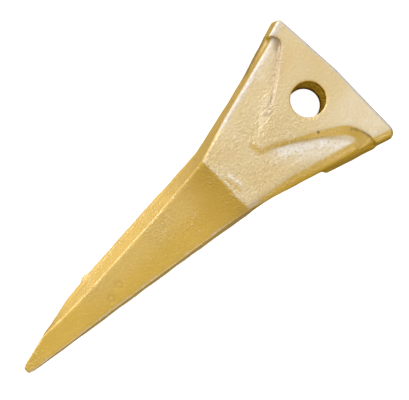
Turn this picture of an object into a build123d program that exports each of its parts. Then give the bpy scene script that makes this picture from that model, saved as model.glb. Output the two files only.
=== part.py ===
"""Excavator bucket tooth of the side-pinned kind, lying on its side, with its lock pin laid under the blade.

Frame: the origin is where the lock-pin bore's axis meets the face that the tooth rests on. +Z runs along the
bore, +X runs from the bore to the tip, and +Y points to the tooth's sole. -Y is the crest side.
All sizes are in millimetres.
"""

import os
from math import asin, cos, radians, sin, sqrt

from build123d import *

# ---- driving dimensions of the tooth ----
BORE_RADIUS = 12.5
BODY_DEPTH = 96.0
MID = BODY_DEPTH / 2
REAR_X = -29.5
TIP_X = 289.5
WAIST_X = 84.6

# half-depths, measured from the mid-plane at z = MID
REAR_HALF = 41.3
SHOULDER_X = 55.0
SHOULDER_HALF = 47.6
SHOULDER_BLEND = 12.0
WAIST_HALF = 46.5
TIP_HALF = 15.0

# the waist: a rounded crest across each side face, then a concave run-out down to the blade
WAIST_ROUND = 6.0
RUNOUT_RADIUS = 80.0
RUNOUT_START_DEG = 45.0
RUNOUT_END_DEG = 3.1

# outlines as (x, y): crest and sole at the mid-plane, and the two edges of the side face
CREST_LINE = [
    (REAR_X, -60.2), (19, -45.9), (84.6, -29.7), (92, -29.1), (137, -26.0), (205, -20.5), (232, -17.2),
    (262, -10.5), (TIP_X, -2.9),
]
RIDGE_LINE = [
    (REAR_X, -54.6), (55, -30.9), (84.6, -20.8), (92, -19.8), (137, -15.4), (205, -10.3), (232, -9.1),
    (262, -9.4), (TIP_X, -2.4),
]
SOLE_LINE = [
    (REAR_X, 60.5), (45, 40.6), (75, 31.9), (92, 30.8), (137, 24.4), (205, 15.6), (232, 12.3),
    (262, 8.6), (TIP_X, 5.2),
]
SOLE_EDGE_LINE = [
    (REAR_X, 60.0), (45, 39.5), (84.6, 28.5), (92, 27.3), (137, 21.8), (205, 13.6), (232, 10.5), (262, 7.2),
    (TIP_X, 4.4),
]
RIDGE_ROUND = [(REAR_X, 4.0), (55, 4.0), (92, 2.0), (137, 1.2), (TIP_X, 1.0)]
SOLE_ROUND = [(REAR_X, 12.0), (45, 12.0), (84.6, 5.0), (92, 3.5), (137, 2.0), (TIP_X, 1.0)]

# where the cross-sections are taken: spacing is close where the side faces curve
BOX_REAR_X = -20.0
BOX_STATIONS = [BOX_REAR_X, 43.0, 47.0, 51.0, 55.0, 59.0, 63.0, 67.0]
WAIST_STATIONS = [82.1, 83.2, 84.3, 85.4, 86.4]
RUNOUT_STATIONS = [90.0, 94.0, 98.0, 102.0, 107.0, 112.0, 118.0, 124.0, 130.0, 137.0]
BLADE_STATIONS = [205.0, 232.0, 262.0]
TIP_ROUND = 3.0
TIP_TURNS_DEG = [0, 15, 30, 45, 60, 76]

# the raised land round the bore, between the two corner scoops: its edges, and its walls' feet lower down
LAND_SOLE_EDGE = [
    (52.0, 4.6), (28.0, 12.2), (9.1, 21.8), (0.5, 26.7), (-8.8, 33.6), (-13.1, 43.2), (-13.6, 60.0),
]
LAND_SOLE_FOOT = [
    (56.0, 17.6), (33.2, 25.0), (15.6, 33.7), (8.1, 38.0), (1.8, 42.0), (0.0, 46.9), (-1.2, 60.0),
]
LAND_CREST_EDGE = [
    (52.0, -3.8), (34.0, -9.2), (16.8, -17.4), (3.0, -26.8), (-5.4, -33.5), (-12.2, -40.8), (-14.0, -48.5),
]
LAND_CREST_FOOT = [
    (55.0, -10.3), (37.2, -15.0), (20.6, -22.7), (7.1, -31.8), (-1.3, -38.5), (-6.4, -43.5), (-7.5, -49.2),
]
LAND_WALL_DROP = 8.0
SCOOP_END_CENTRE = (-7.6, -45.5)
SCOOP_END_RADIUS = 6.5
SCOOP_END_DROP = 11.0

# the rim flange at the mouth of the socket: its crest half leans forward about the break line
FLANGE_DEPTH = 15.7
FLANGE_REAR = {"crest": -62.0, "crest_edge": -57.0, "sole": 64.6, "sole_edge": 61.5}
FLANGE_FRONT = {"crest": -58.2, "crest_edge": -53.5, "sole": 59.8, "sole_edge": 56.5}
FLANGE_CREST_ROUND = 4.0
FLANGE_SOLE_ROUND = 8.0
RIM_ROUND = 3.0
RIM_TURNS_DEG = [0, 22.5, 45, 67.5, 90]
RIM_BREAK_Y = -3.0
RIM_LEAN_DEG = 4.6

# the pads on the crest and sole walls, between the corner scoops
PAD_HALF = 24.0
PAD_TAPER_DEG = 8.0
CREST_PAD = [(-14.0, -58.2), (17.0, -47.3), (26.0, -38.0), (-14.0, -40.0)]
SOLE_PAD = [(-14.0, 61.0), (25.6, 48.8), (28.4, 43.5), (24.0, 36.0), (-14.0, 40.0)]

# the socket for the adapter nose
SOCKET_END_X = 79.0
SOCKET_MOUTH = (44.5, 33.5)
SOCKET_END = (15.5, 30.0)
SOCKET_CORNER = 6.0

# ---- driving dimensions of the lock pin ----
PIN_RADIUS = 12.0
PIN_LENGTH = 96.0
PIN_CHAMFER = 2.5
PIN_REAR_X = 134.0
PIN_Y = -2.5
SLOT_LENGTH = 64.0
SLOT_WIDTH = 12.0
SLOT_DEPTH = 11.0
RUBBER_RECESS = 0.5
BUTTON_SPACING = 32.0
BUTTON_RADIUS = 4.5
BUTTON_DOME_RADIUS = 6.0
BUTTON_PROUD = 2.0
BUTTON_HOLE_GAP = 0.15
VOID_DEPTH = 2.4
RUBBER_FLOOR = 1.8


def line_y(line, x):
    """The y of a polyline at x."""
    for (x0, y0), (x1, y1) in zip(line, line[1:]):
        if x <= x1:
            return y0 + (y1 - y0) * (x - x0) / (x1 - x0)
    return line[-1][1]


def box_half_depth(x, waist_x):
    """Half-depth of the box: it grows to the shoulder, then draws in to the waist, with a soft turn."""
    rear_slope = (SHOULDER_HALF - REAR_HALF) / (SHOULDER_X - REAR_X)
    front_slope = (WAIST_HALF - SHOULDER_HALF) / (waist_x - SHOULDER_X)
    away = x - SHOULDER_X
    if away <= -SHOULDER_BLEND:
        return SHOULDER_HALF + rear_slope * away
    if away >= SHOULDER_BLEND:
        return SHOULDER_HALF + front_slope * away
    turned = (away + SHOULDER_BLEND) ** 2 / (4 * SHOULDER_BLEND)
    return SHOULDER_HALF + rear_slope * away + (front_slope - rear_slope) * turned


def half_depth(x):
    """Half-depth of the tooth at x, from the rear to the tip."""
    start_sin = sin(radians(RUNOUT_START_DEG))
    start_cos = cos(radians(RUNOUT_START_DEG))
    round_start_x = WAIST_X - WAIST_ROUND * (1 - start_cos) / start_sin
    if x <= round_start_x:
        return box_half_depth(x, round_start_x)
    if x <= round_start_x + WAIST_ROUND * start_sin:
        return WAIST_HALF - WAIST_ROUND + sqrt(WAIST_ROUND**2 - (x - round_start_x) ** 2)
    arc_end_x = WAIST_X + RUNOUT_RADIUS * (start_sin - sin(radians(RUNOUT_END_DEG)))
    turn = asin(start_sin - (min(x, arc_end_x) - WAIST_X) / RUNOUT_RADIUS)
    half = WAIST_HALF - RUNOUT_RADIUS * (cos(turn) - start_cos)
    if x <= arc_end_x:
        return half
    return half + (TIP_HALF - half) * (x - arc_end_x) / (TIP_X - arc_end_x)


def six_sided(x, half, crest, crest_edge, sole, sole_edge, crest_round, sole_round):
    """A cross-section at x: flat side faces at +-half, and walls that meet in an edge at the mid-plane."""
    corners = [
        (x, crest, MID),
        (x, crest_edge, MID + half),
        (x, sole_edge, MID + half),
        (x, sole, MID),
        (x, sole_edge, MID - half),
        (x, crest_edge, MID - half),
    ]
    rounds = [0, crest_round, sole_round, 0, sole_round, crest_round]
    return make_face(FilletPolyline(*corners, radius=rounds, close=True))


def section(x, inset=0.0):
    """The tooth's cross-section at x, drawn in by inset all round."""
    return six_sided(
        x,
        half_depth(x) - inset,
        line_y(CREST_LINE, x) + inset,
        line_y(RIDGE_LINE, x) + inset,
        line_y(SOLE_LINE, x) - inset,
        line_y(SOLE_EDGE_LINE, x) - inset,
        line_y(RIDGE_ROUND, x) / (1 + inset),
        line_y(SOLE_ROUND, x) / (1 + inset),
    )


def tip_section(turn_deg):
    """A cross-section of the rounded tip, where turn_deg goes from 0 at its start to 90 at its end."""
    turn = radians(turn_deg)
    return section(TIP_X - TIP_ROUND * (1 - sin(turn)), TIP_ROUND * (1 - cos(turn)))


def tooth_core():
    """The box, the waist, the run-out, the blade and the tip, as one closed solid."""
    stations = BOX_STATIONS + WAIST_STATIONS + RUNOUT_STATIONS + BLADE_STATIONS
    sections = [section(x) for x in stations] + [tip_section(turn) for turn in TIP_TURNS_DEG]
    return loft(sections, ruled=True)


def land_outline(sole_edge, crest_edge, half):
    """The land's outline at a half-depth, from its edge towards the sole and its edge towards the crest."""
    sole_side = [(x, y, MID + half) for x, y in sole_edge]
    crest_side = [(x, y, MID + half) for x, y in crest_edge]
    corner_sole = (BOX_REAR_X, sole_side[-1][1], MID + half)
    corner_crest = (BOX_REAR_X, crest_side[-1][1], MID + half)
    edges = [
        Spline(*sole_side),
        Line(sole_side[-1], corner_sole),
        Line(corner_sole, corner_crest),
        Line(corner_crest, crest_side[-1]),
        Spline(*reversed(crest_side)),
        Line(crest_side[0], sole_side[0]),
    ]
    return make_face(Wire(edges))


def box_envelope():
    """The box with its side faces moved out to the tooth's full depth."""
    sections = []
    for x in (BOX_REAR_X, LAND_SOLE_FOOT[0][0]):
        lines = [line_y(line, x) for line in (CREST_LINE, RIDGE_LINE, SOLE_LINE, SOLE_EDGE_LINE)]
        sections.append(six_sided(x, MID, *lines, line_y(RIDGE_ROUND, x), line_y(SOLE_ROUND, x)))
    return loft(sections, ruled=True)


def side_land():
    """The raised land round the bore on the upper side face, with sloping walls down to the scoops."""
    foot = land_outline(LAND_SOLE_FOOT, LAND_CREST_FOOT, MID - LAND_WALL_DROP)
    top = land_outline(LAND_SOLE_EDGE, LAND_CREST_EDGE, MID)
    return loft([foot, top], ruled=True) & box_envelope()


def scoop_end():
    """The round end of the crest-side scoop, which bites into the land and the flange."""
    x, y = SCOOP_END_CENTRE
    on_its_top = (Align.CENTER, Align.CENTER, Align.MAX)
    return Pos(x, y, BODY_DEPTH + 1) * Cylinder(SCOOP_END_RADIUS, SCOOP_END_DROP + 1, align=on_its_top)


def flange_section(x, inset):
    """The flange's cross-section at x, drawn in by inset all round."""
    forward = (x - REAR_X) / FLANGE_DEPTH
    at = {side: rear + (FLANGE_FRONT[side] - rear) * forward for side, rear in FLANGE_REAR.items()}
    return six_sided(
        x,
        MID - inset,
        at["crest"] + inset,
        at["crest_edge"] + inset,
        at["sole"] - inset,
        at["sole_edge"] - inset,
        FLANGE_CREST_ROUND,
        FLANGE_SOLE_ROUND,
    )


def rim_flange():
    """The flange round the mouth of the socket, proud of the crest and sole walls."""
    sections = []
    for turn_deg in RIM_TURNS_DEG:
        turn = radians(turn_deg)
        sections.append(flange_section(REAR_X + RIM_ROUND * (1 - cos(turn)), RIM_ROUND * (1 - sin(turn))))
    sections.append(flange_section(REAR_X + FLANGE_DEPTH, 0))
    whole = loft(sections, ruled=True)
    break_line = Pos(REAR_X, RIM_BREAK_Y, MID)
    reach = 2 * BODY_DEPTH
    sole_side = break_line * Box(reach, reach, reach, align=(Align.CENTER, Align.MIN, Align.CENTER))
    crest_side = break_line * Box(reach, reach, reach, align=(Align.CENTER, Align.MAX, Align.CENTER))
    leaning = break_line * Rot(Z=RIM_LEAN_DEG) * break_line.inverse()
    return (whole & sole_side) + leaning * (whole & crest_side)


def wall_pad(outline):
    """A pad at mid-depth on the crest or sole wall, whose two ends taper with the wall."""
    points = [(x, y, MID) for x, y in outline]
    face = make_face(Polyline(*points, close=True))
    upper = extrude(face, PAD_HALF, dir=(0, 0, 1), taper=PAD_TAPER_DEG)
    return upper + mirror(upper, Plane.XY.offset(MID))


def socket():
    """The wedge-shaped space for the adapter nose, open at the rear."""
    slope = (SOCKET_END[0] - SOCKET_MOUTH[0]) / (SOCKET_END_X - REAR_X)
    depth_slope = (SOCKET_END[1] - SOCKET_MOUTH[1]) / (SOCKET_END_X - REAR_X)
    sections = []
    for x in (REAR_X - 5, SOCKET_END_X):
        half_y = SOCKET_MOUTH[0] + slope * (x - REAR_X)
        half_z = SOCKET_MOUTH[1] + depth_slope * (x - REAR_X)
        corners = [(x, -half_y, MID + half_z), (x, half_y, MID + half_z), (x, half_y, MID - half_z)]
        corners.append((x, -half_y, MID - half_z))
        sections.append(make_face(FilletPolyline(*corners, radius=SOCKET_CORNER, close=True)))
    return loft(sections, ruled=True)


def tooth_casting():
    land = side_land()
    upper_end = scoop_end()
    outer = rim_flange() + land + mirror(land, Plane.XY.offset(MID))
    outer = outer - upper_end - mirror(upper_end, Plane.XY.offset(MID))
    tooth = tooth_core() + outer
    tooth = tooth + wall_pad(CREST_PAD) + wall_pad(SOLE_PAD)
    tooth = tooth - socket()
    bore = Pos(0, 0, MID) * Cylinder(BORE_RADIUS, BODY_DEPTH + 2)
    return tooth - bore


def pin_place():
    """Where the pin's own frame goes: its axis along +X on the floor, and its slot facing -Y."""
    return Pos(PIN_REAR_X, PIN_Y, PIN_RADIUS) * Rot(X=90)


def slot_shape(length, width, depth):
    """A round-ended slot that goes down from the pin's top to a depth, in the pin's own frame."""
    outline = SlotOverall(length, width)
    middle = Pos(PIN_LENGTH / 2, 0, PIN_RADIUS - depth)
    return middle * extrude(outline, depth + 1)


def button_places():
    """The two buttons' places along the pin, in the pin's own frame."""
    middle = PIN_LENGTH / 2
    return {
        "rear": Pos(middle - BUTTON_SPACING / 2, 0, 0),
        "front": Pos(middle + BUTTON_SPACING / 2, 0, 0),
    }


def lock_pin_body():
    pin = Rot(Y=90) * Cylinder(PIN_RADIUS, PIN_LENGTH, align=(Align.CENTER, Align.CENTER, Align.MIN))
    pin = chamfer(pin.edges().filter_by(GeomType.CIRCLE), PIN_CHAMFER)
    return pin_place() * (pin - slot_shape(SLOT_LENGTH, SLOT_WIDTH, SLOT_DEPTH))


def lock_rubber():
    """The bonded rubber strip, with a hole for each button and a void below it."""
    strip = slot_shape(SLOT_LENGTH, SLOT_WIDTH, SLOT_DEPTH)
    strip = strip & (Rot(Y=90) * Cylinder(PIN_RADIUS - RUBBER_RECESS, PIN_LENGTH * 3))
    floor_z = PIN_RADIUS - SLOT_DEPTH + RUBBER_FLOOR
    hole_radius = BUTTON_RADIUS + BUTTON_HOLE_GAP
    hole = Cylinder(hole_radius, PIN_RADIUS, align=(Align.CENTER, Align.CENTER, Align.MIN))
    for place in button_places().values():
        strip = strip - place * Pos(0, 0, floor_z) * hole
    return pin_place() * strip


def lock_button():
    """A domed steel button, in the pin's own frame, standing proud of the pin by BUTTON_PROUD."""
    foot_z = PIN_RADIUS - SLOT_DEPTH + RUBBER_FLOOR + VOID_DEPTH
    top_z = PIN_RADIUS + BUTTON_PROUD
    dome_z = top_z - BUTTON_DOME_RADIUS
    on_its_foot = (Align.CENTER, Align.CENTER, Align.MIN)
    whole = Pos(0, 0, foot_z) * Cylinder(BUTTON_RADIUS, top_z - foot_z, align=on_its_foot)
    shank = Pos(0, 0, foot_z) * Cylinder(BUTTON_RADIUS, dome_z - foot_z, align=on_its_foot)
    return shank + (whole & Pos(0, 0, dome_z) * Sphere(BUTTON_DOME_RADIUS))


def main():
    os.makedirs("parts", exist_ok=True)
    nodes = {
        "tooth_casting": tooth_casting(),
        "lock_pin_body": lock_pin_body(),
        "lock_rubber": lock_rubber(),
    }
    for name, place in button_places().items():
        nodes[f"{name}_lock_button"] = pin_place() * place * lock_button()
    for name, solid in nodes.items():
        solid.label = name
        export_step(solid, f"parts/{name}.step")


main()
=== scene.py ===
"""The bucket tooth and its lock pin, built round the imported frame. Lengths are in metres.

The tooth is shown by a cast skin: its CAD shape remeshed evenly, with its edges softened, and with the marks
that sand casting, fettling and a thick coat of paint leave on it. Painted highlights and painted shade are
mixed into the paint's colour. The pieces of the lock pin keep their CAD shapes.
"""

from math import cos, radians, sin

import bpy
import numpy as np
from mathutils import Matrix, Vector, noise


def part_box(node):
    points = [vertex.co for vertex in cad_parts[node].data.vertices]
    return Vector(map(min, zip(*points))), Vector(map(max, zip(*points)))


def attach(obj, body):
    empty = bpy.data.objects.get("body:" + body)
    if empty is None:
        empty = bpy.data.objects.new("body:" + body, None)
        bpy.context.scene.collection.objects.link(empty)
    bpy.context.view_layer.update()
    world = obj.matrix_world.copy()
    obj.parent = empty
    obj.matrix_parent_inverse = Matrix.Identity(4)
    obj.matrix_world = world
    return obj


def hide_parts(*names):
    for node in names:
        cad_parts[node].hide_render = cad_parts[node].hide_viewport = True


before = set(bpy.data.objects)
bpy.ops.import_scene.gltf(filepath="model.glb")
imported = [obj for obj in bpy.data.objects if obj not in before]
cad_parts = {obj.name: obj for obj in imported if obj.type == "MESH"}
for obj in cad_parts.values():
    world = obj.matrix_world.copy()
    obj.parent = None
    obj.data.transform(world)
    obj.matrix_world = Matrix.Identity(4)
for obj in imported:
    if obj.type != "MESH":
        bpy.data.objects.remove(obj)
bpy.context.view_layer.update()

MM = 0.001

# ---- places on the tooth: its ends and its middle come from the frame ----
TOOTH_LOW, TOOTH_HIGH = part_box("tooth_casting")
MID_Z = (TOOTH_LOW.z + TOOTH_HIGH.z) / 2
REAR_X = TOOTH_LOW.x
TIP_X = TOOTH_HIGH.x
WAIST_X = 84.6 * MM
BORE_RADIUS = 12.5 * MM
SOCKET_END_X = 79.0 * MM
SOCKET_HALF_Y = (44.5 * MM, 15.5 * MM)
SOCKET_HALF_Z = (33.5 * MM, 30.0 * MM)

# ---- the cast skin ----
VOXEL = 1.15 * MM
EDGE_SOFTENING = 4
SKIN_INSET = 0.3 * MM
EDGE_PASSES = 6
WEAR_PASSES = 40
FLASH_HEIGHT = 0.4
GROOVE_DEPTH = 0.35
GROOVE_FROM_MIDDLE = 5.5 * MM
NUB_AT = (211 * MM, -20.5 * MM)
NUB_HEIGHT = 2.4 * MM
BLISTER_RADIUS = 2.4 * MM

# ---- marks on the upper side face, in millimetres ----
BOW_POINTS = 9
WAIST_MM = WAIST_X / MM
WAIST_HALF_WIDTH = 20.5
LAND_TIP = (51.5, 4.5)
LAND_MIDDLE = (24.0, 18.5)
LAND_REAR = (-2.5, 42.5)


def bowed(start, end, rise):
    """A line of (x, y) points from start to end, which stands off to the left by rise at its middle."""
    start = np.array(start)
    run = np.array(end) - start
    left = np.array((-run[1], run[0])) / np.hypot(*run)
    parts = np.linspace(0, 1, BOW_POINTS)
    return [tuple(start + part * run + 4 * rise * part * (1 - part) * left) for part in parts]


SOLE_WALL = bowed(LAND_TIP, LAND_MIDDLE, 1.6)[:-1] + bowed(LAND_MIDDLE, LAND_REAR, 2.2)
SOLE_WALL_FOOT = [(51.5, -4.0)] + SOLE_WALL
NOTCH = [(51.5, -3.5)] + bowed((50.5, 4.0), (33.0, 10.5), 0.5)
CREST_WALL = bowed((-12.5, -44.0), (28.0, -12.5), 2.7)
CREST_LAP = bowed((-8.5, -40.5), (24.0, -15.0), 1.0)
CREVICE = bowed((-7.5, 36.5), (-13.0, 50.0), 1.2)
PAINT_RUN = bowed((WAIST_MM - 6.5, 0.0), (WAIST_MM - 8.5, 11.0), 0.2)
RUN_HOLLOW = bowed((WAIST_MM - 3.0, 1.0), (WAIST_MM - 5.0, 13.0), -0.3)
CREST_BAND = bowed((20.0, -20.5), (43.0, -6.0), -0.6)
WAIST_RIDGE = bowed((WAIST_MM, -WAIST_HALF_WIDTH), (WAIST_MM, WAIST_HALF_WIDTH), 1.3)
CREST_FILLET = bowed((-27.0, -56.0), (58.0, -30.5), 2.0)
CREST_FLOOR = [(-6.0, -43.0), (12.0, -34.0)]
RIM_CORNERS = [(-28.0, -58.0), (-28.5, 60.0)]
DARK_SPECK = (11.0, 22.0)
BLISTERS = [(193.0, 2.5), (204.0, 6.0)]

# ---- view ----
CAMERA_AT = Vector((0.0627, 0.0080, 1.0584))
LOOK_AT = Vector((0.1048, 0.0005, 0.0480))
PICTURE_UP_DEG = -133.7
LENS_MM = 118.8
SENSOR_MM = 36.0

# ---- light: how bright the sky is towards each side, and the floor's own glow ----
SKY_TOWARDS_CREST = 0.95
SKY_TOWARDS_SOLE = 1.25
SKY_TOWARDS_REAR = 1.15
SKY_TOWARDS_TIP = 0.60
FLOOR_HALF = 3.0
FLOOR_GLOW = 0.96


# ---------------------------------------------------------------- the cast skin


def remeshed(source, name):
    """A new object with the source's shape in even quads, its sharp edges softened."""
    skin = source.copy()
    skin.data = source.data.copy()
    skin.parent = None
    bpy.context.scene.collection.objects.link(skin)
    remesh = skin.modifiers.new("remesh", "REMESH")
    remesh.mode = "VOXEL"
    remesh.voxel_size = VOXEL
    soften = skin.modifiers.new("soften", "SMOOTH")
    soften.factor = 0.5
    soften.iterations = EDGE_SOFTENING
    evaluated = skin.evaluated_get(bpy.context.evaluated_depsgraph_get())
    mesh = bpy.data.meshes.new_from_object(evaluated)
    bpy.data.objects.remove(skin)
    mesh.name = name
    mesh.materials.clear()
    return bpy.data.objects.new(name, mesh)


def vertex_places(mesh):
    places = np.zeros(len(mesh.vertices) * 3)
    mesh.vertices.foreach_get("co", places)
    return places.reshape(-1, 3)


def vertex_normals(mesh):
    normals = np.zeros(len(mesh.vertices) * 3)
    mesh.vertex_normals.foreach_get("vector", normals)
    return normals.reshape(-1, 3)


def noise_at(places, size, seed):
    """Smooth noise from -1 to 1 at each place, with features of about the given size."""
    shift = Vector((seed * 7.31, seed * 3.17, seed * 5.73))
    return np.array([noise.noise(Vector(place) / size + shift) for place in places])


def bell(distance, width):
    """1 at no distance, falling smoothly to nothing at about twice the width."""
    return np.exp(-((distance / width) ** 2))


def step_up(value, low, high):
    """0 below low, 1 above high, and a smooth step between."""
    part = np.clip((value - low) / (high - low), 0, 1)
    return part * part * (3 - 2 * part)


def from_line(places, line):
    """Each vertex's distance from a line of (x, y) points in millimetres, seen along Z."""
    flat = places[:, :2] / MM
    nearest = np.full(len(places), 1e9)
    for start, end in zip(line, line[1:]):
        start = np.array(start)
        run = np.array(end) - start
        part = np.clip(((flat - start) @ run) / (run @ run), 0, 1)
        away = np.linalg.norm(flat - start - part[:, None] * run, axis=1)
        nearest = np.minimum(nearest, away)
    return nearest * MM


def from_point(places, point):
    """Each vertex's distance from a point (x, y) in millimetres, seen along Z."""
    return np.hypot(places[:, 0] - point[0] * MM, places[:, 1] - point[1] * MM)


def edge_ends(mesh):
    ends = np.zeros(len(mesh.edges) * 2, dtype=np.int64)
    mesh.edges.foreach_get("vertices", ends)
    return ends.reshape(-1, 2)


def averaged(mesh, places, passes):
    """The places after each vertex has been moved to the middle of its neighbours a number of times."""
    ends = edge_ends(mesh)
    count = np.bincount(ends.ravel(), minlength=len(places))
    mean = places.copy()
    for _ in range(passes):
        total = np.zeros_like(places)
        for axis in range(3):
            total[:, axis] = np.bincount(ends[:, 0], mean[ends[:, 1], axis], len(places))
            total[:, axis] += np.bincount(ends[:, 1], mean[ends[:, 0], axis], len(places))
        mean = total / count[:, None]
    return mean


def sharpness(mesh, places, normals, passes):
    """Positive on outside edges and negative in inside corners, spread over a few vertices."""
    return np.einsum("ij,ij->i", places - averaged(mesh, places, passes), normals)


def worn(mesh, places):
    """The places with the rim's corners worn round, and the low end of the crest-side wall worn flat."""
    wear = bell(from_line(places, CREST_BAND), 5 * MM) * (places[:, 2] - MID_Z > 20 * MM)
    for corner in RIM_CORNERS:
        wear = np.maximum(wear, 0.6 * bell(from_point(places, corner), 2.4 * MM))
    return places + (averaged(mesh, places, WEAR_PASSES) - places) * wear[:, None]


def socket_mask(places):
    """1 on the socket's walls, and 0 outside the tooth."""
    x, y, z = places.T
    along = np.clip((x - REAR_X) / (SOCKET_END_X - REAR_X), 0, 1)
    half_y = SOCKET_HALF_Y[0] + (SOCKET_HALF_Y[1] - SOCKET_HALF_Y[0]) * along
    half_z = SOCKET_HALF_Z[0] + (SOCKET_HALF_Z[1] - SOCKET_HALF_Z[0]) * along
    margin = 1.5 * MM
    inside_y = np.abs(y) < half_y + margin
    inside_z = np.abs(z - MID_Z) < half_z + margin
    return (inside_y & inside_z & (x > REAR_X + 2 * MM) & (x < SOCKET_END_X + margin)).astype(float)


def cast_texture(places, normals, socket):
    """How far each vertex is moved by the sand's grain, which is coarsest over the front of the box."""
    x, y = places[:, 0], places[:, 1]
    box_front = step_up(x, -10 * MM, 35 * MM) * (1 - step_up(x, 85 * MM, 100 * MM))
    middle = step_up(y, -36 * MM, -8 * MM) * (1 - step_up(y, 32 * MM, 50 * MM))
    facing_side = step_up(np.abs(normals[:, 2]), 0.5, 0.9)
    rough_patch = 0.35 * step_up(noise_at(places, 24 * MM, seed=9), -0.1, 0.4) * step_up(x, 96 * MM, 110 * MM)
    coarse = 0.33 + 0.67 * box_front * (0.25 + 0.75 * middle) * facing_side + rough_patch
    coarse = np.maximum(coarse, 0.8 * socket)
    patches = 0.75 + 0.5 * noise_at(places, 22 * MM, seed=1)
    grain = 0.05 * MM * noise_at(places, 5.0 * MM, seed=2) + 0.10 * MM * noise_at(places, 2.1 * MM, seed=3)
    swell = 0.22 * MM * noise_at(places, 34 * MM, seed=4)
    return grain * coarse * patches + swell, coarse


def parting_flash(places, normals):
    """The low line of metal where the mould's two halves met, with a groove ground along each side of it."""
    x, z = places[:, 0], places[:, 2]
    on_edge = step_up(np.abs(normals[:, 1]), 0.7, 0.9)
    along = step_up(x, -6 * MM, 2 * MM) * (1 - step_up(x, TIP_X - 14 * MM, TIP_X - 4 * MM))
    ground_off = step_up(noise_at(places * (1, 0, 0), 13 * MM, seed=5), -0.35, 0.25)
    flash = FLASH_HEIGHT * bell(z - MID_Z, 1.1 * MM) * (0.25 + 0.75 * ground_off)
    from_groove = np.abs(z - MID_Z) - GROOVE_FROM_MIDDLE
    grooves = GROOVE_DEPTH * bell(from_groove, 1.2 * MM) * step_up(x, 80 * MM, 95 * MM)
    return (flash - grooves) * MM * on_edge * along


def crest_nub(places):
    """The broken-off stub of a mould vent on the crest."""
    x, y, z = places.T
    far = np.sqrt(((x - NUB_AT[0]) / 1.5) ** 2 + (y - NUB_AT[1]) ** 2 + (z - MID_Z) ** 2)
    return NUB_HEIGHT * bell(far, 2.4 * MM)


def side_marks(places, normals):
    """Marks left on the upper side face, and painted shade in its crevice: an offset for each vertex, how
    dark it is, and how pale.
    """
    z = places[:, 2]
    upper = step_up(normals[:, 2], 0.3, 0.7) * step_up(z, MID_Z + 5 * MM, MID_Z + 10 * MM)
    broken = step_up(noise_at(places, 2.2 * MM, seed=7), -0.35, 0.15)
    crease = bell(from_line(places, SOLE_WALL_FOOT), 1.6 * MM)
    lap = bell(from_line(places, CREST_LAP), 0.8 * MM) * (0.4 + 0.6 * broken)
    crevice = bell(from_line(places, CREVICE), 0.9 * MM) * (0.5 + 0.5 * broken)
    run = bell(from_line(places, PAINT_RUN), 0.85 * MM)
    hollow = bell(from_line(places, RUN_HOLLOW), 1.3 * MM)
    ridge = bell(from_line(places, WAIST_RIDGE), 0.9 * MM) * broken
    blisters = np.zeros(len(places))
    for blister in BLISTERS:
        ring = np.abs(from_point(places, blister) - BLISTER_RADIUS)
        blisters = blisters + bell(ring, 0.9 * MM)
    offset = -0.7 * crease - 0.2 * lap - 0.8 * crevice - 0.5 * blisters
    offset = offset + 0.5 * run - 0.4 * hollow + 0.3 * ridge
    speck = bell(from_point(places, DARK_SPECK), 0.85 * MM)
    # The crevice's darkening is painted shade in the crease; the lap line and the speck are dark marks.
    dark = 0.45 * lap + 0.6 * crevice + 1.6 * speck
    band = bell(from_line(places, CREST_BAND), 0.9 * MM) * broken
    pale = 0.8 * run + 0.35 * ridge + 0.45 * band
    return offset * upper * MM, dark * upper, pale * upper


def pad_painted_shade(places, socket):
    """1 on the pads in the middle of the crest and sole walls, which are darkened to brown as painted shade,
    most on the crest side.
    """
    x, y, z = places.T
    along = step_up(x, -16 * MM, -8 * MM) * (1 - step_up(x, 14 * MM, 27 * MM))
    across = 1 - step_up(np.abs(z - MID_Z), 10 * MM, 22 * MM)
    ragged = step_up(along * across + 0.45 * noise_at(places, 6 * MM, seed=13), 0.35, 0.85)
    side = np.where(y < 0, 1.0, 0.4) * (np.abs(y) > 36 * MM)
    return ragged * side * (1 - socket)


def bore_mask(places):
    """About 1 on the wall of the lock-pin bore, down to a quarter at its mouths; it darkens the paint there
    as painted shade.
    """
    x, y, z = places.T
    wall = 1 - step_up(np.hypot(x, y), BORE_RADIUS + 0.6 * MM, BORE_RADIUS + 1.4 * MM)
    depth = TOOTH_HIGH.z - MID_Z - np.abs(z - MID_Z)
    return wall * (0.25 + 0.75 * step_up(depth, 3 * MM, 14 * MM))


def painted_cream_highlight(places, normals):
    """How far the paint is lightened to cream as painted highlight: most on the box's sides where they face
    the light, and less on the crest and the blade.
    """
    x, y, z = places.T
    # How far each face turns towards the light, which comes from above and from the crest side.
    facing = np.abs(normals[:, 2]) * 0.87 - normals[:, 1] * 0.45 - normals[:, 0] * 0.20
    ragged = x + 1.6 * MM * noise_at(places, 2.6 * MM, seed=11) + 1.0 * MM * noise_at(places, 8 * MM, seed=12)
    box = 1 - step_up(ragged, WAIST_X - 1.5 * MM, WAIST_X + 0.7 * MM)
    bare = 0.9 * bell(from_line(places, NOTCH), 2.2 * MM)
    bare = bare + 0.8 * bell(from_line(places, RUN_HOLLOW), 1.3 * MM)
    uppermost = 0.2 * step_up(y, 5 * MM, 30 * MM) * (1 - step_up(x, -5 * MM, 15 * MM))
    on_box = np.clip(0.73 + uppermost + 0.22 * noise_at(places, 18 * MM, seed=6), 0, 1) * (1 - bare)
    on_crest = 0.28 * step_up(-normals[:, 1], 0.5, 0.9)
    lit = np.maximum(step_up(facing, 0.58, 0.74), bell(from_line(places, CREST_BAND), 6 * MM))
    on_sides = step_up(np.abs(z - MID_Z), 26 * MM, 30 * MM)
    crest_half = (1 - step_up(y, -6 * MM, 10 * MM)) * (1 - step_up(x, 190 * MM, 240 * MM))
    blade_side = 0.16 * crest_half * step_up(facing, 0.6, 0.8)
    blade_sole = 0.35 * step_up(normals[:, 1], 0.5, 0.9)
    on_blade = (blade_side + blade_sole) * (1 - box)
    return np.maximum.reduce([lit * box * on_box * on_sides, on_crest, on_blade])


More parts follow.
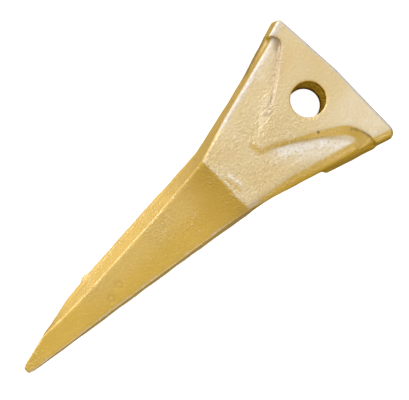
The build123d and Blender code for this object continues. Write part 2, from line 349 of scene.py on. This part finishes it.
def scoop_painted_highlight(places, normals):
    """How white the level scoop floors and the upper face of the rim's sole end are lit, as painted
    highlight.
    """
    x, y, z = places.T
    beyond_wall = y - np.interp(x / MM, *zip(*reversed(SOLE_WALL))) * MM
    floor = step_up(beyond_wall, 0.5 * MM, 2.5 * MM) * (1 - step_up(beyond_wall, 5 * MM, 22 * MM))
    along = step_up(x, -4 * MM, 2 * MM) * (1 - step_up(x, 30 * MM, 54 * MM))
    level = step_up(np.abs(normals[:, 2]), 0.93, 0.98)
    crest_floor = 0.3 * bell(from_line(places, CREST_FLOOR), 6 * MM)
    rim_end = 0.25 * step_up(y, 5 * MM, 30 * MM) * (1 - step_up(x, -8 * MM, 12 * MM)) * (z > MID_Z)
    patchy = np.clip(0.75 + 0.6 * noise_at(places, 6 * MM, seed=8), 0, 1)
    return np.maximum.reduce([floor * along, crest_floor, rim_end]) * level * patchy


def waist_painted_shade(places):
    """How far the yellow is darkened as painted shade: most where the box runs out into the blade, fading
    along the blade.
    """
    x = places[:, 0]
    return 0.45 * step_up(x, WAIST_X - 2 * MM, WAIST_X + 4 * MM) * (1 - step_up(x, 96 * MM, 128 * MM))


def crest_wall_painted_shade(places):
    """1 on the crest-side wall of the land, which is darkened to brown as painted shade."""
    near_side = step_up(np.abs(places[:, 2] - MID_Z), 33 * MM, 36 * MM)
    fading = 1 - 0.35 * step_up(places[:, 0], -4 * MM, 14 * MM)
    return near_side * fading * bell(from_line(places, CREST_WALL), 2.8 * MM)


def painted_edge_highlights(places, normals, edge):
    """How far the rounded edges of the crest side, of the rim and of the blade's sole side are lit pale, as
    painted highlight.
    """
    x = places[:, 0]
    flat = np.abs(normals[:, 2])
    band = bell(from_line(places, CREST_FILLET), 3.2 * MM) * step_up(flat, 0.3, 0.6)
    towards_rear = step_up(flat * 0.64 - normals[:, 0] * 0.77, 0.78, 0.94) * (x < REAR_X + 6 * MM)
    rim = towards_rear * step_up(edge, 0.03 * MM, 0.20 * MM)
    towards_sole = step_up(flat * 0.77 + normals[:, 1] * 0.64, 0.86, 0.96) * step_up(x, 60 * MM, 80 * MM)
    patchy = step_up(noise_at(places, 7 * MM, seed=10), -0.3, 0.2)
    sole_edge = 0.6 * towards_sole * patchy * step_up(edge, 0.05 * MM, 0.2 * MM)
    return np.maximum.reduce([band, rim, sole_edge])


def cast_skin():
    """The tooth's casting as it left the mould and the paint booth, with masks for its painted highlights and
    painted shade.
    """
    skin = remeshed(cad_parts["tooth_casting"], "cast_skin")
    mesh = skin.data
    places = worn(mesh, vertex_places(mesh))
    mesh.vertices.foreach_set("co", places.ravel())
    mesh.update()
    normals = vertex_normals(mesh)
    socket = socket_mask(places)
    grain, coarse = cast_texture(places, normals, socket)
    marks, dark, pale = side_marks(places, normals)
    seam = parting_flash(places, normals) + crest_nub(places)
    offset = grain - SKIN_INSET + marks + seam * (1 - socket)
    moved = places + normals * offset[:, None]
    mesh.vertices.foreach_set("co", moved.ravel())
    mesh.update()
    mesh.shade_smooth()
    edge = sharpness(mesh, moved, vertex_normals(mesh), EDGE_PASSES)
    looks = {
        "coarse": coarse,
        "inside": socket,
        "edge": edge / MM,
        "paint_highlight": painted_cream_highlight(places, normals) * (1 - socket),
        "white": np.maximum(scoop_painted_highlight(places, normals), pale),
        "wall_shade": crest_wall_painted_shade(places) * (1 - socket),
        "waist_shade": waist_painted_shade(places),
        "edge_highlight": painted_edge_highlights(places, normals, edge),
        "dark": np.clip(dark, 0, 1),
        "pad_shade": pad_painted_shade(places, socket),
        "bore": bore_mask(places),
    }
    for name, values in looks.items():
        layer = mesh.attributes.new(name, "FLOAT", "POINT")
        layer.data.foreach_set("value", values.astype(np.float32))
    bpy.context.scene.collection.objects.link(skin)
    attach(skin, "tooth")
    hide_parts("tooth_casting")
    return skin


# ---------------------------------------------------------------- materials

# paint tones, with the colours of painted highlights and painted shade
YELLOW_DULL = (0.57, 0.345, 0.028)
YELLOW_FRESH = (0.62, 0.385, 0.038)
YELLOW_PATCH = (0.53, 0.33, 0.024)
WAIST_SHADE_YELLOW = (0.47, 0.27, 0.014)
EDGE_HIGHLIGHT_PALE = (0.68, 0.46, 0.11)
CORNER_SHADE_BROWN = (0.40, 0.24, 0.03)
HIGHLIGHT_CREAM = (0.735, 0.60, 0.365)
PALE_MARK_AND_HIGHLIGHT_WHITE = (0.95, 0.90, 0.82)
WALL_SHADE_BROWN = (0.43, 0.31, 0.17)
GRAIN_SHADE = (0.44, 0.28, 0.07)
GRAIN_GLINT = (0.84, 0.76, 0.58)
EDGE_HIGHLIGHT_GREY = (0.52, 0.49, 0.48)
PAD_SHADE_BROWN = (0.20, 0.125, 0.045)
BORE_SHADE_YELLOW = (0.42, 0.22, 0.008)
DARK_MARK_AND_CREASE_SHADE = (0.10, 0.05, 0.02)
SOCKET_BROWN = (0.30, 0.155, 0.006)

# steel and rubber tones
PIN_STEEL = (0.24, 0.23, 0.22)
BUTTON_STEEL = (0.55, 0.54, 0.52)
RUBBER_BLACK = (0.018, 0.018, 0.02)
RUBBER_DUSTY = (0.05, 0.048, 0.045)


def new_material(name, colour, roughness, metallic=0.0):
    material = bpy.data.materials.new(name)
    material.use_nodes = True
    shader = material.node_tree.nodes["Principled BSDF"]
    shader.inputs["Base Color"].default_value = (*colour, 1)
    shader.inputs["Roughness"].default_value = roughness
    shader.inputs["Metallic"].default_value = metallic
    return material


class Nodes:
    """Short calls for building one material's node tree."""

    def __init__(self, material):
        self.tree = material.node_tree
        self.shader = self.tree.nodes["Principled BSDF"]
        self.place = self.tree.nodes.new("ShaderNodeTexCoord").outputs["Object"]

    def link(self, output, socket):
        self.tree.links.new(output, socket)

    def put(self, socket, value):
        """Links an output to the socket, or sets the socket to a plain value."""
        if isinstance(value, bpy.types.NodeSocket):
            self.link(value, socket)
        else:
            socket.default_value = value

    def noise(self, size, detail=2.0, roughness=0.5, distortion=0.0):
        """Noise from 0 to 1 with features of about the given size in metres."""
        node = self.tree.nodes.new("ShaderNodeTexNoise")
        self.link(self.place, node.inputs["Vector"])
        node.inputs["Scale"].default_value = 1 / size
        node.inputs["Detail"].default_value = detail
        node.inputs["Roughness"].default_value = roughness
        node.inputs["Distortion"].default_value = distortion
        return node.outputs["Fac"]

    def attribute(self, name):
        node = self.tree.nodes.new("ShaderNodeAttribute")
        node.attribute_name = name
        return node.outputs["Fac"]

    def math(self, operation, first, second=0.0):
        node = self.tree.nodes.new("ShaderNodeMath")
        node.operation = operation
        self.put(node.inputs[0], first)
        self.put(node.inputs[1], second)
        return node.outputs["Value"]

    def ramp(self, value, low, high, out_low=0.0, out_high=1.0):
        """The value mapped from low..high to out_low..out_high, and held at both ends."""
        node = self.tree.nodes.new("ShaderNodeMapRange")
        node.interpolation_type = "SMOOTHSTEP"
        self.put(node.inputs["Value"], value)
        self.put(node.inputs["From Min"], low)
        self.put(node.inputs["From Max"], high)
        self.put(node.inputs["To Min"], out_low)
        self.put(node.inputs["To Max"], out_high)
        return node.outputs["Result"]

    def mix(self, amount, first, second):
        """A colour between the first and the second."""
        node = self.tree.nodes.new("ShaderNodeMix")
        node.data_type = "RGBA"
        self.put(node.inputs["Factor"], amount)
        for socket, colour in ((node.inputs["A"], first), (node.inputs["B"], second)):
            self.put(socket, colour if isinstance(colour, bpy.types.NodeSocket) else (*colour, 1))
        return node.outputs["Result"]

    def bump(self, height, depth, under=None):
        """A normal bumped by a height from 0 to 1 that stands for the given depth in metres."""
        node = self.tree.nodes.new("ShaderNodeBump")
        node.inputs["Strength"].default_value = 1.0
        node.inputs["Distance"].default_value = depth
        self.link(height, node.inputs["Height"])
        if under is not None:
            self.link(under, node.inputs["Normal"])
        return node.outputs["Normal"]


def yellow_paint():
    """Thick satin paint over a sand-cast surface, with painted highlights and painted shade mixed into its
    colour.
    """
    material = new_material("yellow_paint", (0.62, 0.385, 0.055), 0.34)
    n = Nodes(material)
    coarse = n.attribute("coarse")
    sand = n.noise(1.95 * MM, 3.0, 0.55, 0.3)
    tone = n.mix(n.noise(14 * MM, 3.0), YELLOW_DULL, YELLOW_FRESH)
    tone = n.mix(n.ramp(n.noise(45 * MM, 2.0), 0.40, 0.62, 0.0, 0.6), tone, YELLOW_PATCH)
    # Darker yellow painted shade over the waist's run-out.
    tone = n.mix(n.attribute("waist_shade"), tone, WAIST_SHADE_YELLOW)
    edge = n.attribute("edge")
    # Painted highlight on outside edges and painted shade in inside corners.
    tone = n.mix(n.ramp(edge, 0.10, 0.45, 0.0, 0.3), tone, EDGE_HIGHLIGHT_PALE)
    tone = n.mix(n.ramp(edge, -0.45, -0.08, 0.5, 0.0), tone, CORNER_SHADE_BROWN)
    # Cream painted highlight on the faces turned towards the light.
    tone = n.mix(n.math("MULTIPLY", n.attribute("paint_highlight"), 0.85), tone, HIGHLIGHT_CREAM)
    # White painted highlight on the scoop floors and the rim end, together with the pale run and lines from
    # side_marks.
    white = n.math("MULTIPLY", n.attribute("white"), n.ramp(sand, 0.35, 0.55, 0.4, 1.0))
    tone = n.mix(white, tone, PALE_MARK_AND_HIGHLIGHT_WHITE)
    # Brown painted shade on the crest-side wall of the land.
    tone = n.mix(n.math("MULTIPLY", n.attribute("wall_shade"), 0.95), tone, WALL_SHADE_BROWN)
    # Painted shade in the sand grain's hollows and painted glint on its peaks.
    grain_painted_shade = n.math("MULTIPLY", coarse, n.ramp(sand, 0.42, 0.28, 0.0, 0.35))
    tone = n.mix(grain_painted_shade, tone, GRAIN_SHADE)
    grain_painted_glint = n.math("MULTIPLY", coarse, n.ramp(sand, 0.58, 0.72, 0.0, 0.35))
    tone = n.mix(grain_painted_glint, tone, GRAIN_GLINT)
    # Grey-white painted highlight along the rounded edges.
    edge_highlight = n.math("MULTIPLY", n.attribute("edge_highlight"), n.ramp(sand, 0.3, 0.6, 0.45, 0.85))
    tone = n.mix(edge_highlight, tone, EDGE_HIGHLIGHT_GREY)
    # Brown painted shade on the pads.
    tone = n.mix(n.math("MULTIPLY", n.attribute("pad_shade"), 0.6), tone, PAD_SHADE_BROWN)
    bore = n.attribute("bore")
    # Darker yellow painted shade on the bore's wall.
    tone = n.mix(bore, tone, BORE_SHADE_YELLOW)
    tone = n.mix(n.attribute("dark"), tone, DARK_MARK_AND_CREASE_SHADE)
    inside = n.attribute("inside")
    # The socket's walls are mixed patchily towards a darker brown.
    socket_brown_amount = n.math("MULTIPLY", inside, n.ramp(n.noise(9 * MM, 3.0), 0.35, 0.7, 0.35, 0.9))
    tone = n.mix(socket_brown_amount, tone, SOCKET_BROWN)
    n.link(tone, n.shader.inputs["Base Color"])
    n.link(n.ramp(n.noise(6 * MM, 2.0), 0.3, 0.7, 0.30, 0.40), n.shader.inputs["Roughness"])
    grain = n.math("MULTIPLY", sand, coarse)
    normal = n.bump(grain, 1.8 * MM)
    n.link(normal, n.shader.inputs["Normal"])
    n.link(normal, n.shader.inputs["Coat Normal"])
    hidden = n.math("MAXIMUM", bore, inside)
    n.link(n.ramp(hidden, 0.0, 1.0, 0.65, 0.0), n.shader.inputs["Coat Weight"])
    n.link(n.ramp(hidden, 0.0, 1.0, 0.5, 0.0), n.shader.inputs["Specular IOR Level"])
    n.shader.inputs["Coat Roughness"].default_value = 0.22
    return material


def oiled_steel(name, colour):
    """Steel with a fine, uneven surface, mottled by a film of oil."""
    material = new_material(name, colour, 0.35, 1.0)
    n = Nodes(material)
    oily = tuple(0.6 * c for c in colour)
    n.link(n.mix(n.noise(7 * MM, 4.0), colour, oily), n.shader.inputs["Base Color"])
    n.link(n.ramp(n.noise(3 * MM, 3.0), 0.3, 0.7, 0.28, 0.5), n.shader.inputs["Roughness"])
    n.link(n.bump(n.noise(0.5 * MM, 2.0), 0.02 * MM), n.shader.inputs["Normal"])
    return material


def black_rubber():
    material = new_material("lock_rubber", (0.025, 0.025, 0.027), 0.7)
    n = Nodes(material)
    n.link(n.mix(n.noise(4 * MM, 3.0), RUBBER_BLACK, RUBBER_DUSTY), n.shader.inputs["Base Color"])
    n.link(n.bump(n.noise(0.7 * MM, 2.0), 0.05 * MM), n.shader.inputs["Normal"])
    return material


def set_material(ob, material):
    ob.data.materials.clear()
    ob.data.materials.append(material)


def finish_lock_pin():
    steel = oiled_steel("pin_steel", PIN_STEEL)
    bright = oiled_steel("button_steel", BUTTON_STEEL)
    finishes = {
        "lock_pin_body": steel,
        "lock_rubber": black_rubber(),
        "rear_lock_button": bright,
        "front_lock_button": bright,
    }
    for node, material in finishes.items():
        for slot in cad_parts[node].material_slots:
            slot.material = material


# ---------------------------------------------------------------- stage, light and camera


def add_camera():
    """A long lens looking down the pin bore, with the tooth running to the picture's lower left."""
    data = bpy.data.cameras.new("camera")
    data.lens = LENS_MM
    data.sensor_width = SENSOR_MM
    camera = bpy.data.objects.new("camera", data)
    bpy.context.scene.collection.objects.link(camera)
    forward = (LOOK_AT - CAMERA_AT).normalized()
    turn = radians(PICTURE_UP_DEG)
    up_hint = Vector((cos(turn), sin(turn), 0))
    right = forward.cross(up_hint).normalized()
    up = right.cross(forward)
    axes = Matrix((right, up, -forward)).transposed()
    camera.matrix_world = Matrix.Translation(CAMERA_AT) @ axes.to_4x4()
    bpy.context.scene.camera = camera


def add_floor():
    """A white light table. It shows white through the pin bore, and it neither lights the paint nor is
    mirrored in it.
    """
    mesh = bpy.data.meshes.new("floor")
    half = FLOOR_HALF
    corners = [(-half, -half, 0), (half, -half, 0), (half, half, 0), (-half, half, 0)]
    mesh.from_pydata(corners, [], [(0, 1, 2, 3)])
    floor = bpy.data.objects.new("floor", mesh)
    bpy.context.scene.collection.objects.link(floor)
    material = new_material("floor_white", (0.5, 0.5, 0.5), 0.9)
    shader = material.node_tree.nodes["Principled BSDF"]
    shader.inputs["Emission Color"].default_value = (1, 1, 1, 1)
    shader.inputs["Emission Strength"].default_value = FLOOR_GLOW
    mesh.materials.append(material)
    floor.visible_glossy = False
    floor.visible_diffuse = False


def add_area_light(name, place, target, size, power, colour=(1, 1, 1)):
    data = bpy.data.lights.new(name, "AREA")
    data.shape = "RECTANGLE"
    data.size, data.size_y = size
    data.energy = power
    data.color = colour
    light = bpy.data.objects.new(name, data)
    bpy.context.scene.collection.objects.link(light)
    light.location = place
    light.rotation_euler = (Vector(target) - Vector(place)).to_track_quat("-Z", "Y").to_euler()


def add_world():
    """A soft studio: even overhead, brighter towards the sole and the rear, and nearly dark below."""
    world = bpy.data.worlds.new("studio")
    world.use_nodes = True
    tree = world.node_tree
    background = tree.nodes["Background"]
    direction = tree.nodes.new("ShaderNodeTexCoord")
    split = tree.nodes.new("ShaderNodeSeparateXYZ")
    height = tree.nodes.new("ShaderNodeMapRange")
    height.inputs["From Min"].default_value = -1.0
    ramp = tree.nodes.new("ShaderNodeValToRGB")
    strength = tree.nodes.new("ShaderNodeMath")
    strength.operation = "MULTIPLY"
    ends = {"X": (SKY_TOWARDS_REAR, SKY_TOWARDS_TIP), "Y": (SKY_TOWARDS_CREST, SKY_TOWARDS_SOLE)}
    for index, (axis, (low, high)) in enumerate(ends.items()):
        sideways = tree.nodes.new("ShaderNodeMapRange")
        sideways.inputs["From Min"].default_value = -1.0
        sideways.inputs["To Min"].default_value = low
        sideways.inputs["To Max"].default_value = high
        tree.links.new(split.outputs[axis], sideways.inputs["Value"])
        tree.links.new(sideways.outputs["Result"], strength.inputs[index])
    tree.links.new(direction.outputs["Generated"], split.inputs["Vector"])
    tree.links.new(split.outputs["Z"], height.inputs["Value"])
    tree.links.new(height.outputs["Result"], ramp.inputs["Fac"])
    tree.links.new(ramp.outputs["Color"], background.inputs["Color"])
    tree.links.new(strength.outputs["Value"], background.inputs["Strength"])
    stops = ramp.color_ramp.elements
    stops[0].position = 0.30
    stops[0].color = (0.03, 0.018, 0.008, 1)
    stops[1].position = 0.50
    stops[1].color = (0.75, 0.73, 0.70, 1)
    top = stops.new(0.6)
    top.color = (0.80, 0.81, 0.83, 1)
    bpy.context.scene.world = world


def add_lights():
    add_area_light("window", (0.0, -1.05, 0.70), (0.05, 0, 0.09), (2.2, 0.6), 8.5, (1.0, 0.98, 1.0))
    add_area_light("crest_box", (0.10, -1.20, 0.25), (0.10, 0, 0.07), (1.4, 0.3), 14.0, (1.0, 0.97, 0.94))
    add_area_light("sole_fill", (0.30, 1.20, 0.25), (0.16, 0, 0.06), (1.2, 0.3), 5.6, (1.0, 0.93, 0.74))


add_camera()
add_world()
add_floor()
add_lights()
skin = cast_skin()
set_material(skin, yellow_paint())
finish_lock_pin()
bpy.context.scene.view_settings.view_transform = "Standard"
